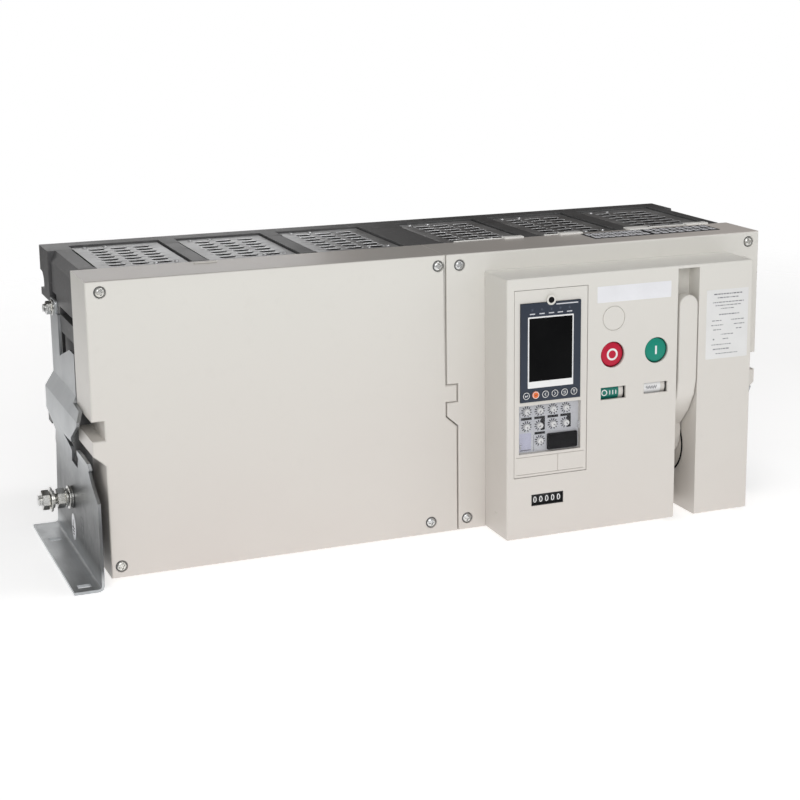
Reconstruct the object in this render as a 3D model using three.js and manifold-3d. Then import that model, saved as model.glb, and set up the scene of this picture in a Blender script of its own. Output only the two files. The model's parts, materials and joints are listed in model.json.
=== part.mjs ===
// Fixed-mounted three-pole air circuit breaker, millimetres, +Z up, front towards -Y.
// The breaker is drawn from the lower left front corner of its covers; the last lines
// move the origin to the middle of its footprint.
import * as THREE from 'three';
import { mergeVertices } from 'three/addons/utils/BufferGeometryUtils.js';
import Module from 'manifold-3d';

const wasm = await Module();
wasm.setup();

// Body and covers
const WIDTH = 751;
const HEIGHT = 300;
const COVER_DEPTH = 70;
const SEAM_Y = 195;            // joint between the front and the rear housing half
const REAR_Y = 244;
const GAP = 0.4;               // clearance between pieces that touch
const COVER_WALL = 2.5;
const SPLIT_X = 372.7;         // joint between the two front covers
const STEP = 12.5;             // depth of the interlocking step in the cover edges
const STEP_LEVELS = [161.5, 142, 127, 116];
const SPLIT_WALL_DEPTH = 25;
const SCREW_WELL = { radius: 6.2, depth: 1.8 };
const LEFT_SCREWS = [[14.2, 289], [364, 288.7], [22.6, 12], [354, 13]];
const PLATE_SCREWS = [[388, 288], [395.6, 12.7], [737.4, 289]];

// Fascia with the handle slot and the trip unit window
const FASCIA = { x0: 416.4, x1: 709.4, z0: 0.5, z1: 279.8, front: -55.9, wall: 3 };
const SLOT = { x0: 616.5, x1: 642.5, top: 276.4, shelf: -34, shelfBottom: 162 };
const TRIP = { x0: 425.2, x1: 508.8, z0: 68.2, z1: 266.8, front: -55.4 };
const BEZEL = { x0: 431.8, x1: 500.5, z0: 149, z1: 253, front: -57 };
const DIAL_BAY = { x0: 430.5, x1: 502, z0: 92.8, z1: 145, floor: -50.8 };
const DIAL_RADIUS = 4.6;
const DIALS = [];
for (const z of [137.6, 121.6]) {
  for (const x of [441, 456.2, 471.5, 486.5]) DIALS.push([x, z]);
}
DIALS.push([456.5, 105]);
const KEY_Z = 156;
const KEY_RADIUS = 4;
const KEYS_X = [438, 448.9, 459.9, 470.9, 482, 493];
const BUTTON_RADIUS = 13.4;
const BUTTON_Z = 190.4;
const BUTTONS_X = { off: 539, on: 591.5 };
const FLAG_WINDOWS = {
  position: { x0: 525.4, x1: 555.2, z0: 142, z1: 155.4 },
  spring: { x0: 577, x1: 605.7, z0: 143.5, z1: 155.4 },
};
const BLANK_PLUG = { x: 539.7, z: 229.5, radius: 13.3, groove: 0.7 };
const UNIT_SCREW = { x: 466.2, z: 255.4, bore: 2.2, boss: 3.7 };
const COUNTER_WINDOW = { x0: 445, x1: 482.3, z0: 35.4, z1: 48 };

// Poles: two arc chambers in parallel for each of the three poles
const CHAMBERS_X = [76, 191, 306.5, 449, 565.5, 682.5];
const POLES = [0, 1, 2].map((pole) => {
  const [a, b] = CHAMBERS_X.slice(2 * pole, 2 * pole + 2);
  return { x: (a + b) / 2, half: (b - a) / 2 };
});
const CHAMBER_HALF = 48.5;
const CHUTE_HALF = 47.5;
const CHUTE_FLOOR = 190;
const BAR = { width: 40, thick: 20, reach: 52 };       // terminal bars behind the rear wall
const UPPER_BAR_Z = 160;
const LOWER_BAR_Z = 40;

// Mechanism, as points (y, z) in the side view
const SHAFT = { y: 50, z: 120, radius: 10 };
const CRANK = { length: 24, openAngle: 52 };
const CONTACT_PIVOT = { y: 150, z: 60 };
const CONTACT_PIN = { y: -24, z: 52 };                 // from the contact pivot
const CHARGE_AXIS = { y: 8, z: 88 };
const HUB_RADIUS = 34;

// Sheet steel side plates, with a foot flange each
const SHEET = 3;
const FOOT_Z = -8;
const FOOT_REACH = 27;
const STUD = { y: 125, z: 51, tip: -36 };

const finish = (color, roughness, metalness = 0) =>
  new THREE.MeshStandardMaterial({ color, roughness, metalness });
const FINISH = {
  cover: finish(0xdcdad2, 0.55),
  housing: finish(0x55565a, 0.7),
  steel: finish(0xa4a8ab, 0.4, 0.9),
  copper: finish(0xc9ccd0, 0.35, 0.9),
  black: finish(0x1c1d20, 0.5),
  navy: finish(0x1e2a3a, 0.35),
  red: finish(0xc5163c, 0.35),
  green: finish(0x13987f, 0.35),
  white: finish(0xf2f2f0, 0.4),
  clear: finish(0xdfe8ee, 0.1),
};

// ---- solids ----

function solid(geometry) {
  const bare = geometry.clone();
  bare.deleteAttribute('normal');
  bare.deleteAttribute('uv');
  const merged = mergeVertices(bare, 1e-4);
  const mesh = new wasm.Mesh({
    numProp: 3,
    vertProperties: new Float32Array(merged.attributes.position.array),
    triVerts: new Uint32Array(merged.index.array),
  });
  return new wasm.Manifold(mesh);
}

function box(x0, x1, y0, y1, z0, z1) {
  const geometry = new THREE.BoxGeometry(x1 - x0, y1 - y0, z1 - z0);
  return solid(geometry.translate((x0 + x1) / 2, (y0 + y1) / 2, (z0 + z1) / 2));
}

// A prism of an outline drawn on the plane across an axis: (x, z) along y, (y, z) along x.
function prism(axis, outline, from, to) {
  const shape = new THREE.Shape(outline.map(([a, b]) => new THREE.Vector2(a, b)));
  const geometry = new THREE.ExtrudeGeometry(shape, { depth: to - from, bevelEnabled: false });
  const turn = new THREE.Matrix4();
  const [X, Y, Z] = [[1, 0, 0], [0, 1, 0], [0, 0, 1]].map((v) => new THREE.Vector3(...v));
  if (axis === 'x') turn.makeBasis(Y, Z, X).setPosition(from, 0, 0);
  if (axis === 'y') turn.makeBasis(X, Z, Y.clone().negate()).setPosition(0, to, 0);
  return solid(geometry.applyMatrix4(turn));
}

// A round bar along an axis; a and b are its two other coordinates in x, y, z order.
function rod(axis, radius, from, to, a, b, sides = 20) {
  const geometry = new THREE.CylinderGeometry(radius, radius, to - from, sides);
  const middle = (from + to) / 2;
  if (axis === 'x') geometry.rotateZ(Math.PI / 2).translate(middle, a, b);
  if (axis === 'y') geometry.translate(a, middle, b);
  if (axis === 'z') geometry.rotateX(Math.PI / 2).translate(a, b, middle);
  return solid(geometry);
}

function arc(cx, cy, radius, fromDeg, toDeg, steps) {
  return Array.from({ length: steps + 1 }, (_, i) => {
    const angle = THREE.MathUtils.degToRad(fromDeg + (toDeg - fromDeg) * i / steps);
    return [cx + radius * Math.cos(angle), cy + radius * Math.sin(angle)];
  });
}

// A flat bar with round ends from (y0, z0) to (y1, z1), between two x planes.
function strap([y0, z0], [y1, z1], radius, x0, x1) {
  const along = THREE.MathUtils.radToDeg(Math.atan2(z1 - z0, y1 - y0));
  const farEnd = arc(y1, z1, radius, along - 90, along + 90, 6);
  const nearEnd = arc(y0, z0, radius, along + 90, along + 270, 6);
  return prism('x', [...farEnd, ...nearEnd], x0, x1);
}

const join = (first, ...rest) => rest.reduce((whole, piece) => whole.add(piece), first);
const cut = (first, ...rest) => rest.reduce((whole, piece) => whole.subtract(piece), first);

const breaker = new THREE.Group();

function addPart(name, material, piece, position = [0, 0, 0]) {
  const { vertProperties, triVerts } = piece.getMesh();
  const geometry = new THREE.BufferGeometry();
  geometry.setAttribute('position', new THREE.BufferAttribute(vertProperties, 3));
  geometry.setIndex(new THREE.BufferAttribute(triVerts, 1));
  geometry.computeVertexNormals();
  const mesh = new THREE.Mesh(geometry, material);
  mesh.name = name;
  mesh.position.set(...position);
  breaker.add(mesh);
}

// ---- covers ----

// One upright edge of a cover, top to bottom, with the step that locks covers side by side.
// grow widens the recess in the edge, or with a negative value narrows it.
function steppedEdge(x, step, top, bottom, grow = 0) {
  const [high, low, slopeTop, slopeEnd] = STEP_LEVELS;
  const slopeShift = 0.44 * grow;
  return [
    [x, top], [x, high + grow], [x + step, high + grow], [x + step, low - grow],
    [x, low - grow], [x, slopeTop + slopeShift], [x + step, slopeEnd + slopeShift],
    [x + step, bottom],
  ];
}

function coverShell(left, right) {
  const outer = [...steppedEdge(...left(0)), ...steppedEdge(...right(0)).reverse()];
  const inner = [
    ...steppedEdge(...left(COVER_WALL)), ...steppedEdge(...right(COVER_WALL)).reverse(),
  ];
  return cut(
    prism('y', outer, 0, COVER_DEPTH),
    prism('y', inner, COVER_WALL, COVER_DEPTH + 1),
  );
}

// The walls at the joint of the covers are shallow, so that the main shaft passes behind them.
const splitRelief = box(SPLIT_X - 8, SPLIT_X + 22, SPLIT_WALL_DEPTH, COVER_DEPTH + 1, 3, 297);

const leftCover = coverShell(
  (wall) => [wall, STEP, HEIGHT - wall, wall, wall],
  (wall) => [SPLIT_X - 0.5 - wall, STEP, HEIGHT - wall, wall, -0.5 - wall],
);
const screwWells = (places) => places.map(
  ([x, z]) => rod('y', SCREW_WELL.radius, -1, SCREW_WELL.depth, x, z, 24),
);
addPart('left_cover', FINISH.cover, cut(leftCover, splitRelief, ...screwWells(LEFT_SCREWS)));

const frontPlate = coverShell(
  (wall) => [SPLIT_X + 0.5 + wall, STEP, HEIGHT - wall, wall, wall],
  (wall) => [WIDTH - wall, -STEP, HEIGHT - wall, wall, wall],
);
const plateOpening = box(424, 702, -1, COVER_WALL + 1, 6, 272);
addPart('front_plate', FINISH.cover,
  cut(frontPlate, splitRelief, plateOpening, ...screwWells(PLATE_SCREWS)));

function fascia() {
  const { x0, x1, z0, z1, front, wall } = FASCIA;
  const back = -GAP;
  const shell = cut(
    box(x0, x1, front, back, z0, z1),
    box(x0 + wall, x1 - wall, front + wall, 1, z0 + wall, z1 - wall),
  );
  const slotWalls = box(SLOT.x0 - wall, SLOT.x1 + wall, front, back, z0, z1);
  const slotSpaces = [
    box(SLOT.x0, SLOT.x1, front - 1, SLOT.shelf, SLOT.shelfBottom - 1, SLOT.top),
    box(SLOT.x0, SLOT.x1, front - 1, 1, z0 - 1, SLOT.shelfBottom),
    box(SLOT.x0, SLOT.x1, SLOT.shelf + wall, 1, SLOT.shelfBottom + wall, z1 - wall),
  ];
  const through = [front - 1, front + wall + 1];
  const windows = [
    box(TRIP.x0 - 0.6, TRIP.x1 + 0.6, ...through, TRIP.z0 - 0.6, TRIP.z1 + 0.6),
    ...[...Object.values(FLAG_WINDOWS), COUNTER_WINDOW].map(
      (w) => box(w.x0, w.x1, ...through, w.z0, w.z1),
    ),
    ...Object.values(BUTTONS_X).map(
      (x) => rod('y', BUTTON_RADIUS + 0.7, ...through, x, BUTTON_Z, 28),
    ),
  ];
  const plug = BLANK_PLUG;
  const plugGroove = cut(
    rod('y', plug.radius, front - 1, front + 1, plug.x, plug.z, 28),
    rod('y', plug.radius - plug.groove, front - 2, front + 2, plug.x, plug.z, 28),
  );
  return cut(join(shell, slotWalls), ...slotSpaces, ...windows, plugGroove);
}
addPart('fascia', FINISH.cover, fascia());

// ---- insulating housing ----

function frontBase() {
  const front = COVER_DEPTH + 3;
  const shoulder = [[3, 222], [3, 289], [9, HEIGHT], [WIDTH - 9, HEIGHT], [WIDTH - 3, 289],
    [WIDTH - 3, 222]];
  const chimneys = cut(
    prism('y', shoulder, front, SEAM_Y),
    ...CHAMBERS_X.map((x) => box(x - CHAMBER_HALF, x + CHAMBER_HALF, 80, SEAM_Y + 1, 200, 301)),
    ...CHAMBERS_X.map((x) => box(x - CHAMBER_HALF - 2, x, 80, SEAM_Y + 1, 270, 301)),
    ...CHAMBERS_X.map((x) => box(x - CHAMBER_HALF, x + CHAMBER_HALF, front - 1, 81, 296.6, 301)),
    ...[[-1, 20], [WIDTH - 20, WIDTH + 1]].flatMap(([x0, x1]) => [
      box(x0, x1, 77, 155, 240, 248),
      box(x0, x1, 172, SEAM_Y + 1, 244, 257),
      box(x0, x1, 160, SEAM_Y + 1, 200, 244),
    ]),
  );
  const frontWall = box(14, WIDTH - 14, front, 80, 3, 240);
  const sideWalls = [14, WIDTH - 20].map((x) => box(x, x + 6, front, SEAM_Y, 3, 240));
  const phaseBarriers = [248.75, 507.25].map((x) => box(x - 3.5, x + 3.5, front, SEAM_Y, 3, 240));
  const bearings = [104, 643].map((x) => box(x, x + 10, SHAFT.y - 18, front + 1, 100, 140));
  const windows = POLES.map(({ x }) => box(x - 13, x + 13, front - 1, 81, 98, 154));
  const bore = rod('x', SHAFT.radius + 0.8, 90, 660, SHAFT.y, SHAFT.z, 20);
  return cut(join(chimneys, frontWall, ...sideWalls, ...phaseBarriers, ...bearings),
    ...windows, bore);
}
addPart('front_base', FINISH.housing, frontBase());

function rearBase() {
  const front = SEAM_Y + GAP;
  const ledge = [[front, 246], [REAR_Y, 246], [REAR_Y, 254], [225, 254.5],
    ...arc(237, 260, 13, 180, 105, 4), [REAR_Y, 273], [REAR_Y, HEIGHT], [front, HEIGHT]];
  const pockets = CHAMBERS_X.map(
    (x) => box(x - CHAMBER_HALF, x + CHAMBER_HALF, SEAM_Y, 221, 240, 301),
  );
  const backWall = box(16, WIDTH - 16, 226, REAR_Y, 8, 250);
  const lugs = [box(0, 20, 226, REAR_Y, 105, 118), box(WIDTH - 20, WIDTH, 226, REAR_Y, 105, 118)];
  const barPassages = CHAMBERS_X.flatMap((x) => [UPPER_BAR_Z, LOWER_BAR_Z].map(
    (z) => box(x - BAR.width / 2 - 2, x + BAR.width / 2 + 2, 225, 245, z - 2, z + BAR.thick + 2),
  ));
  return cut(join(prism('x', ledge, 0, WIDTH), backWall, ...lugs), ...pockets, ...barPassages);
}
addPart('rear_base', FINISH.housing, rearBase());

// ---- sheet steel side plates with feet ----

// The sheet seen from the front: foot flange, web, and the ridge that stands out over the
// edge of the covers. Given for the left side, outer face first.
function sheetProfile() {
  const outer = [[-FOOT_REACH, FOOT_Z + SHEET], [-3, FOOT_Z + SHEET], [-0.6, FOOT_Z + SHEET + 1],
    [0, FOOT_Z + SHEET + 4], [0, 104], [-9.5, 132], [-9.5, 156], [0, 171], [0, 239]];
  const inner = [[SHEET, 239], [SHEET, 170], [SHEET - 9.5, 155], [SHEET - 9.5, 133],
    [SHEET, 105], [SHEET, -2], [1.4, -6.4], [-2.5, FOOT_Z], [-FOOT_REACH, FOOT_Z]];
  return [...outer, ...inner];
}

// The web starts at depth webFront, and the foot flange at footFront.
function sidePlate(webFront, footFront, slotsY) {
  const outline = [[-10, FOOT_Z - 1], [221, FOOT_Z - 1], [221, 0], [206, 88], [209, 92],
    [199, 118], [197, 161], [197, 240], [155, 240], [155, 196], [98, 214], [75.5, 214],
    [75.5, 171], [71.5, 165], [40, 164], [27, 156], [30, 151], [78, 123.5], [125, 120],
    [112, 109.5], [117, 93], [87, 92.5], [80, 108], [60, 119], [34, 120.5], [10, 118],
    [14, 110], [30, 104], [18, 95], [-10, 82]];
  const sheet = prism('y', sheetProfile(), -10, 221);
  const slots = slotsY.map((y) => box(-21, -8, y - 4.5, y + 4.5, FOOT_Z - 1, FOOT_Z + 4));
  const studHole = rod('x', 6.6, -1, 4, STUD.y, STUD.z, 16);
  const inFront = box(-FOOT_REACH - 1, 10, -11, webFront, FOOT_Z - 1, HEIGHT);
  const besideWeb = box(-FOOT_REACH - 1, 0, -11, footFront, FOOT_Z - 1, 12);
  return cut(sheet.intersect(prism('x', outline, -FOOT_REACH - 1, 10)), ...slots, studHole,
    inFront, besideWeb);
}
addPart('left_side_plate', FINISH.steel, sidePlate(-10, -10, [6, 161]));
addPart('right_side_plate', FINISH.steel, sidePlate(14, 56, [77, 161]).mirror([1, 0, 0]),
  [WIDTH, 0, 0]);

// Earth stud with its nuts and washers, axis along x
const earthStud = join(
  rod('x', 6, STUD.tip, 9, 0, 0, 16),
  rod('x', 10.5, -32, -24, 0, 0, 6),
  rod('x', 13, -22.5, -20, 0, 0, 20),
  rod('x', 10.5, -17, -8, 0, 0, 6),
  rod('x', 12.5, -4.5, -0.4, 0, 0, 20),
  rod('x', 10.5, 3.4, 9, 0, 0, 6),
);
addPart('earth_stud', FINISH.steel, earthStud, [0, STUD.y, STUD.z]);

// ---- arc chutes ----

const chute = cut(
  box(-CHUTE_HALF, CHUTE_HALF, 81.5, 219.5, CHUTE_FLOOR, 296.5),
  box(5 - CHUTE_HALF, CHUTE_HALF - 5, 88, 213, CHUTE_FLOOR - 1, 284),
  box(5 - CHUTE_HALF, CHUTE_HALF - 5, 88, 213, 289, 297),
);
const chuteNotch = box(-CHUTE_HALF - 1, CHUTE_HALF + 1, 194, 222, CHUTE_FLOOR - 1, 201);
CHAMBERS_X.forEach((x, i) => {
  addPart(`arc_chute_${i + 1}`, FINISH.housing, cut(chute, chuteNotch), [x, 0, 0]);
});

// ---- current path of each pole ----

// A terminal: a pad across both chambers behind the rear wall, with a bar into each chamber.
function terminal(half, z, barFront) {
  const padHalf = half + BAR.width / 2 + 18;
  const padBack = REAR_Y + BAR.reach;
  const pad = box(-padHalf, padHalf, REAR_Y + 2, padBack, z, z + BAR.thick);
  const bars = [-half, half].map((x) => box(
    x - BAR.width / 2, x + BAR.width / 2, barFront, REAR_Y + 3, z, z + BAR.thick,
  ));
  const holes = [-half, half].flatMap((x) => [-22, 22].map(
    (dx) => rod('z', 7, z - 1, z + BAR.thick + 1, x + dx, REAR_Y + 30, 8),
  ));
  return cut(join(pad, ...bars), ...holes);
}

function upperTerminal(half) {
  const contacts = [-half, half].map((x) => box(x - 28, x + 28, 190, 204, 152, 184));
  return join(terminal(half, UPPER_BAR_Z, 200), ...contacts);
}

function lowerTerminal(half) {
  const { y, z } = CONTACT_PIVOT;
  const lugs = [-half, half].map((x) => box(
    x - BAR.width / 2, x + BAR.width / 2, y - 12, y + 20, LOWER_BAR_Z, z + 12,
  ));
  const bores = rod('x', 6.8, -half - 30, half + 30, y, z, 12);
  return cut(join(terminal(half, LOWER_BAR_Z, y), ...lugs), bores);
}

// The contact arms of both chambers on one insulating carrier, from their pivot.
function movingContact(half) {
  const arms = [-half, half].flatMap((x) => box(x - 28, x + 28, -8, 8, -14, 118));
  const lugSpaces = [-half, half].map((x) => box(x - 21, x + 21, -20, 20, -20, 24));
  const pivots = [-half, half].map((x) => rod('x', 6, x - 28, x + 28, 0, 0, 12));
  const carrier = box(-half, half, -8, 8, 42, 62);
  const lug = strap([0, CONTACT_PIN.z], [CONTACT_PIN.y, CONTACT_PIN.z], 7, -8, 0);
  const pin = rod('x', 3, -8, 7.5, CONTACT_PIN.y, CONTACT_PIN.z, 10);
  return join(cut(join(...arms, carrier), ...lugSpaces), ...pivots, lug, pin);
}

function currentTransformer(half) {
  const windows = [-half, half].map((x) => box(x - 22.5, x + 22.5, 198, 225, 37.5, 62.5));
  return cut(box(-half - 34, half + 34, 199, 223, 22, 84), ...windows);
}

// Crank pin with the contacts open, and the link from there to the contact's pin
const openRad = THREE.MathUtils.degToRad(CRANK.openAngle);
const CRANK_PIN = { y: CRANK.length * Math.cos(openRad), z: CRANK.length * Math.sin(openRad) };
const LINK_END = {
  y: CONTACT_PIVOT.y + CONTACT_PIN.y - SHAFT.y - CRANK_PIN.y,
  z: CONTACT_PIVOT.z + CONTACT_PIN.z - SHAFT.z - CRANK_PIN.z,
};
const driveLink = cut(
  strap([0, 0], [LINK_END.y, LINK_END.z], 10.5, 0.5, 6.5),
  rod('x', 4.7, 0, 7, 0, 0, 12),
  rod('x', 7.7, 0, 7, LINK_END.y, LINK_END.z, 16),
);

POLES.forEach(({ x, half }, i) => {
  const pole = i + 1;
  addPart(`upper_terminal_${pole}`, FINISH.copper, upperTerminal(half), [x, 0, 0]);
  addPart(`lower_terminal_${pole}`, FINISH.copper, lowerTerminal(half), [x, 0, 0]);
  addPart(`current_transformer_${pole}`, FINISH.black, currentTransformer(half), [x, 0, 0]);
  addPart(`moving_contact_${pole}`, FINISH.copper, movingContact(half),
    [x, CONTACT_PIVOT.y, CONTACT_PIVOT.z]);
  addPart(`drive_link_${pole}`, FINISH.steel, driveLink,
    [x, SHAFT.y + CRANK_PIN.y, SHAFT.z + CRANK_PIN.z]);
});

const cranks = POLES.flatMap(({ x }) => [
  rod('x', 13, x - 8, x, 0, 0, 16),
  strap([0, 0], [CRANK_PIN.y, CRANK_PIN.z], 8, x - 8, x),
  rod('x', 4, x - 8, x + 7.5, CRANK_PIN.y, CRANK_PIN.z, 12),
]);
addPart('main_shaft', FINISH.steel, join(rod('x', SHAFT.radius, 98, 657, 0, 0, 20), ...cranks),
  [0, SHAFT.y, SHAFT.z]);

// ---- spring mechanism behind the fascia ----

function mechanismFrame() {
  const plates = [518, 606].map((x) => box(x, x + 4, -22, 68, 40, 262));
  const back = box(518, 610, 64, 68, 60, 262);
  const bars = [[-14, 50], [-14, 252], [58, 244]].map(([y, z]) => rod('x', 5, 518, 610, y, z, 8));
  const bores = [
    rod('x', SHAFT.radius + 0.8, 515, 613, SHAFT.y, SHAFT.z, 20),
    rod('x', 8.8, 515, 613, CHARGE_AXIS.y, CHARGE_AXIS.z, 16),
  ];
  return cut(join(...plates, back, ...bars), ...bores);
}
addPart('mechanism_frame', FINISH.steel, mechanismFrame());

const chargingShaft = join(
  rod('x', 8, 513, 640, 0, 0, 16),
  prism('x', [...arc(0, 0, 20, 60, 300, 10), ...arc(14, 0, 16, -55, 55, 6)], 556, 570),
  rod('x', 27, 590, 596, 0, 0, 24),
);
addPart('charging_shaft', FINISH.steel, chargingShaft, [0, CHARGE_AXIS.y, CHARGE_AXIS.z]);

// The charging handle from its pivot: a round hub, an arm that leans forward and an upright grip
function chargeHandle() {
  const side = [
    ...arc(0, 0, HUB_RADIUS, 62, -195, 22), [-50, 28], [-61, 48], [-64.5, 66], [-64.5, 159],
    [-50, 159], [-50, 70], [-44, 56], [-30, 42], [-12, 34],
  ];
  const grip = prism('x', side, 619, 641.5);
  const face = [[619, -40], [641.5, -40], ...arc(630.25, 147.75, 11.25, 0, 180, 10)];
  const bore = rod('x', 8.7, 610, 650, 0, 0, 16);
  return cut(grip.intersect(prism('y', face, -70, 40)), bore);
}
addPart('charge_handle', FINISH.cover, chargeHandle(), [0, CHARGE_AXIS.y, CHARGE_AXIS.z]);

const motor = join(
  rod('y', 24, -44, 30, 676, 60, 24),
  box(657, 700, 30, 60, 40, 98),
);
addPart('charging_motor', FINISH.black, motor);

const coil = join(box(-15, 15, 8, 46, 206, 254), rod('z', 5, 190, 207, 0, 27, 12));
addPart('closing_coil', FINISH.black, coil, [583, 0, 0]);
addPart('trip_coil', FINISH.black, coil, [542, 0, 0]);
addPart('auxiliary_switch', FINISH.black, join(
  box(655, 702, 6, 58, 150, 262),
  box(659, 698, -4, 7, 160, 252),
));

// ---- push buttons, flags and counter ----

const button = join(
  rod('y', BUTTON_RADIUS, -0.4, 5, 0, 0, 28),
  rod('y', 16, 4.5, 7.5, 0, 0, 24),
  rod('y', 6, 7, 27, 0, 0, 12),
);
addPart('off_button', FINISH.red, button, [BUTTONS_X.off, FASCIA.front, BUTTON_Z]);
addPart('on_button', FINISH.green, button, [BUTTONS_X.on, FASCIA.front, BUTTON_Z]);

// Each flag is a drum that turns behind its window.
function flagDrum(name, material, { x0, x1, z0, z1 }, radius) {
  const width = x1 - x0;
  const drum = join(
    rod('x', radius, 0.5, width - 1.2, 0, 0, 24),
    rod('x', 2, -4, width + 3, 0, 0, 8),
  );
  const y = FASCIA.front + FASCIA.wall + 0.6 + radius;
  addPart(name, material, drum, [x0, y, (z0 + z1) / 2]);
}
flagDrum('position_flag', FINISH.green, FLAG_WINDOWS.position, 11);
flagDrum('spring_flag', FINISH.white, FLAG_WINDOWS.spring, 11);

const counterFront = FASCIA.front + FASCIA.wall + GAP;
addPart('operation_counter', FINISH.black, box(441, 486, counterFront, -30, 31, 52));

// ---- trip unit ----

function tripUnit() {
  const { x0, x1, z0, z1, front } = TRIP;
  const body = join(box(x0, x1, front, -47, z0, z1), box(430, 504, -48, 32, 74, 262));
  const displayPocket = box(BEZEL.x0 - GAP, BEZEL.x1 + GAP, -60, -51.8,
    BEZEL.z0 - GAP, BEZEL.z1 + GAP);
  const bay = DIAL_BAY;
  const dialPocket = box(bay.x0, bay.x1, -60, bay.floor, bay.z0, bay.z1);
  const bores = DIALS.map(([x, z]) => rod('y', DIAL_RADIUS + 0.5, -52, -48.2, x, z, 16));
  const doorGaps = [[427.5, 506, 89.3, 89.9], [427.5, 506, 70.6, 71.2], [475.4, 476, 71, 89.5]]
    .map(([gapX0, gapX1, gapZ0, gapZ1]) => box(gapX0, gapX1, -60, front + 1, gapZ0, gapZ1));
  const screw = UNIT_SCREW;
  const boss = rod('y', screw.boss, BEZEL.front - 0.2, -50, screw.x, screw.z, 20);
  const screwBore = rod('y', screw.bore, -60, -49, screw.x, screw.z, 16);
  return cut(join(cut(body, displayPocket, dialPocket, ...bores, ...doorGaps), boss), screwBore);
}
addPart('trip_unit', FINISH.cover, tripUnit());

function display() {
  const { x0, x1, z0, z1, front } = BEZEL;
  const wells = KEYS_X.map((x) => rod('y', KEY_RADIUS + 0.45, front - 1, -53.4, x, KEY_Z, 20));
  const bossSpace = rod('y', UNIT_SCREW.boss + GAP, front - 1, -50, UNIT_SCREW.x, UNIT_SCREW.z, 20);
  return cut(box(x0, x1, front, -52.2, z0, z1), ...wells, bossSpace);
}
addPart('display', FINISH.navy, display());

const key = rod('y', KEY_RADIUS, -0.3, 2.9, 0, 0, 20);
KEYS_X.forEach((x, i) => {
  addPart(`key_${i + 1}`, FINISH.navy, key, [x, BEZEL.front, KEY_Z]);
});

const dial = cut(
  rod('y', DIAL_RADIUS, -3.6, 2.2, 0, 0, 20),
  box(-0.6, 0.6, -4, -2.4, -3.4, 3.4),
);
DIALS.forEach(([x, z], i) => {
  addPart(`dial_${i + 1}`, FINISH.white, dial, [x, DIAL_BAY.floor, z]);
});

// The clear cover over the dials, from its hinge line at the left edge
const bayWidth = DIAL_BAY.x1 - DIAL_BAY.x0;
const bayHeight = DIAL_BAY.z1 - DIAL_BAY.z0;
const clearCover = box(-1.2, bayWidth - 2.1, -0.6, 0.6, 0.4, bayHeight - 0.4);
addPart('clear_cover', FINISH.clear, clearCover, [DIAL_BAY.x0 + 1.7, -55.2, DIAL_BAY.z0]);

// ---- origin at the middle of the footprint, on the surface that the feet stand on ----

const bounds = new THREE.Box3().setFromObject(breaker);
const centre = bounds.getCenter(new THREE.Vector3());
breaker.position.set(-centre.x, -centre.y, -bounds.min.z);

const assembly = new THREE.Group();
assembly.add(breaker);
export default assembly;
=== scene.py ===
import json
import math

import bmesh
import bpy
import numpy as np
from mathutils import Matrix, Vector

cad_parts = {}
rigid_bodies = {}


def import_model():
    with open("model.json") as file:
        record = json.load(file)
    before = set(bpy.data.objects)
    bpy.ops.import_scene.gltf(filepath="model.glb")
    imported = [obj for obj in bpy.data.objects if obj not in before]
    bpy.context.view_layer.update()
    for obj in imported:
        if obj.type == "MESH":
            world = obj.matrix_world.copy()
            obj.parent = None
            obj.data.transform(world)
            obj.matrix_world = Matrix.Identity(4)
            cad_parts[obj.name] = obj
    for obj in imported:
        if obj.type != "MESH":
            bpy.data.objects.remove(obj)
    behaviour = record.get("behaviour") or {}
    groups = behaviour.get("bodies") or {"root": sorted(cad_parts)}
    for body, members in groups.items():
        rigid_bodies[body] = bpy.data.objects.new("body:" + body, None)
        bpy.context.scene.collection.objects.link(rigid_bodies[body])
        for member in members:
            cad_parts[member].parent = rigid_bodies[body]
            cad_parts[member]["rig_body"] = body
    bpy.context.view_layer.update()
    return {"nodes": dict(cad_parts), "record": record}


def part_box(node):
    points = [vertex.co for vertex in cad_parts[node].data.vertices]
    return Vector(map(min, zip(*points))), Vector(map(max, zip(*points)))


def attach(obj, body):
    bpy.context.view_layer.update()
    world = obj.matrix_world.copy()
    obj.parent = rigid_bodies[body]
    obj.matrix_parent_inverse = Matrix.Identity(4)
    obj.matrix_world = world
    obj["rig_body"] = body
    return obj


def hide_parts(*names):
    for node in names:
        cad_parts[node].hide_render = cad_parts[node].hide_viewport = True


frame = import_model()

# A wide air circuit breaker with its covers on. Lengths are in millimetres from the lower left
# front corner of the covers, as on a shop drawing: x to the right, y to the rear, z up.
MM = 0.001
CORNER = np.array(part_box("left_cover")[0])


def corners_of(node):
    """A node's lowest and highest corners, in mm."""
    return [np.array(corner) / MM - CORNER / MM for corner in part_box(node)]


def front_of(node):
    """The x and z of a node's middle, and the y of its front and of its back, in mm."""
    low, high = corners_of(node)
    return (low[0] + high[0]) / 2, (low[2] + high[2]) / 2, low[1], high[1]


CHAMBERS_X = [front_of(f"arc_chute_{i}")[0] for i in range(1, 7)]
BREAKER_WIDTH = corners_of("front_plate")[1][0]
FASCIA_LOW, FASCIA_HIGH = corners_of("fascia")
FASCIA_FRONT = FASCIA_LOW[1]
UNIT_FRONT = corners_of("trip_unit")[0][1]
BEZEL_FRONT = corners_of("display")[0][1]
BAY_FLOOR = -50.8
CAP_TOP = 298.2
TOP_HEIGHT = CAP_TOP * MM + CORNER[2]
ON_PLANE = 0.05  # an edge this near a plane, in mm, lies on it


# ---- shapes: points in mm, with tables of corner numbers, one row per face ----

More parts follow.
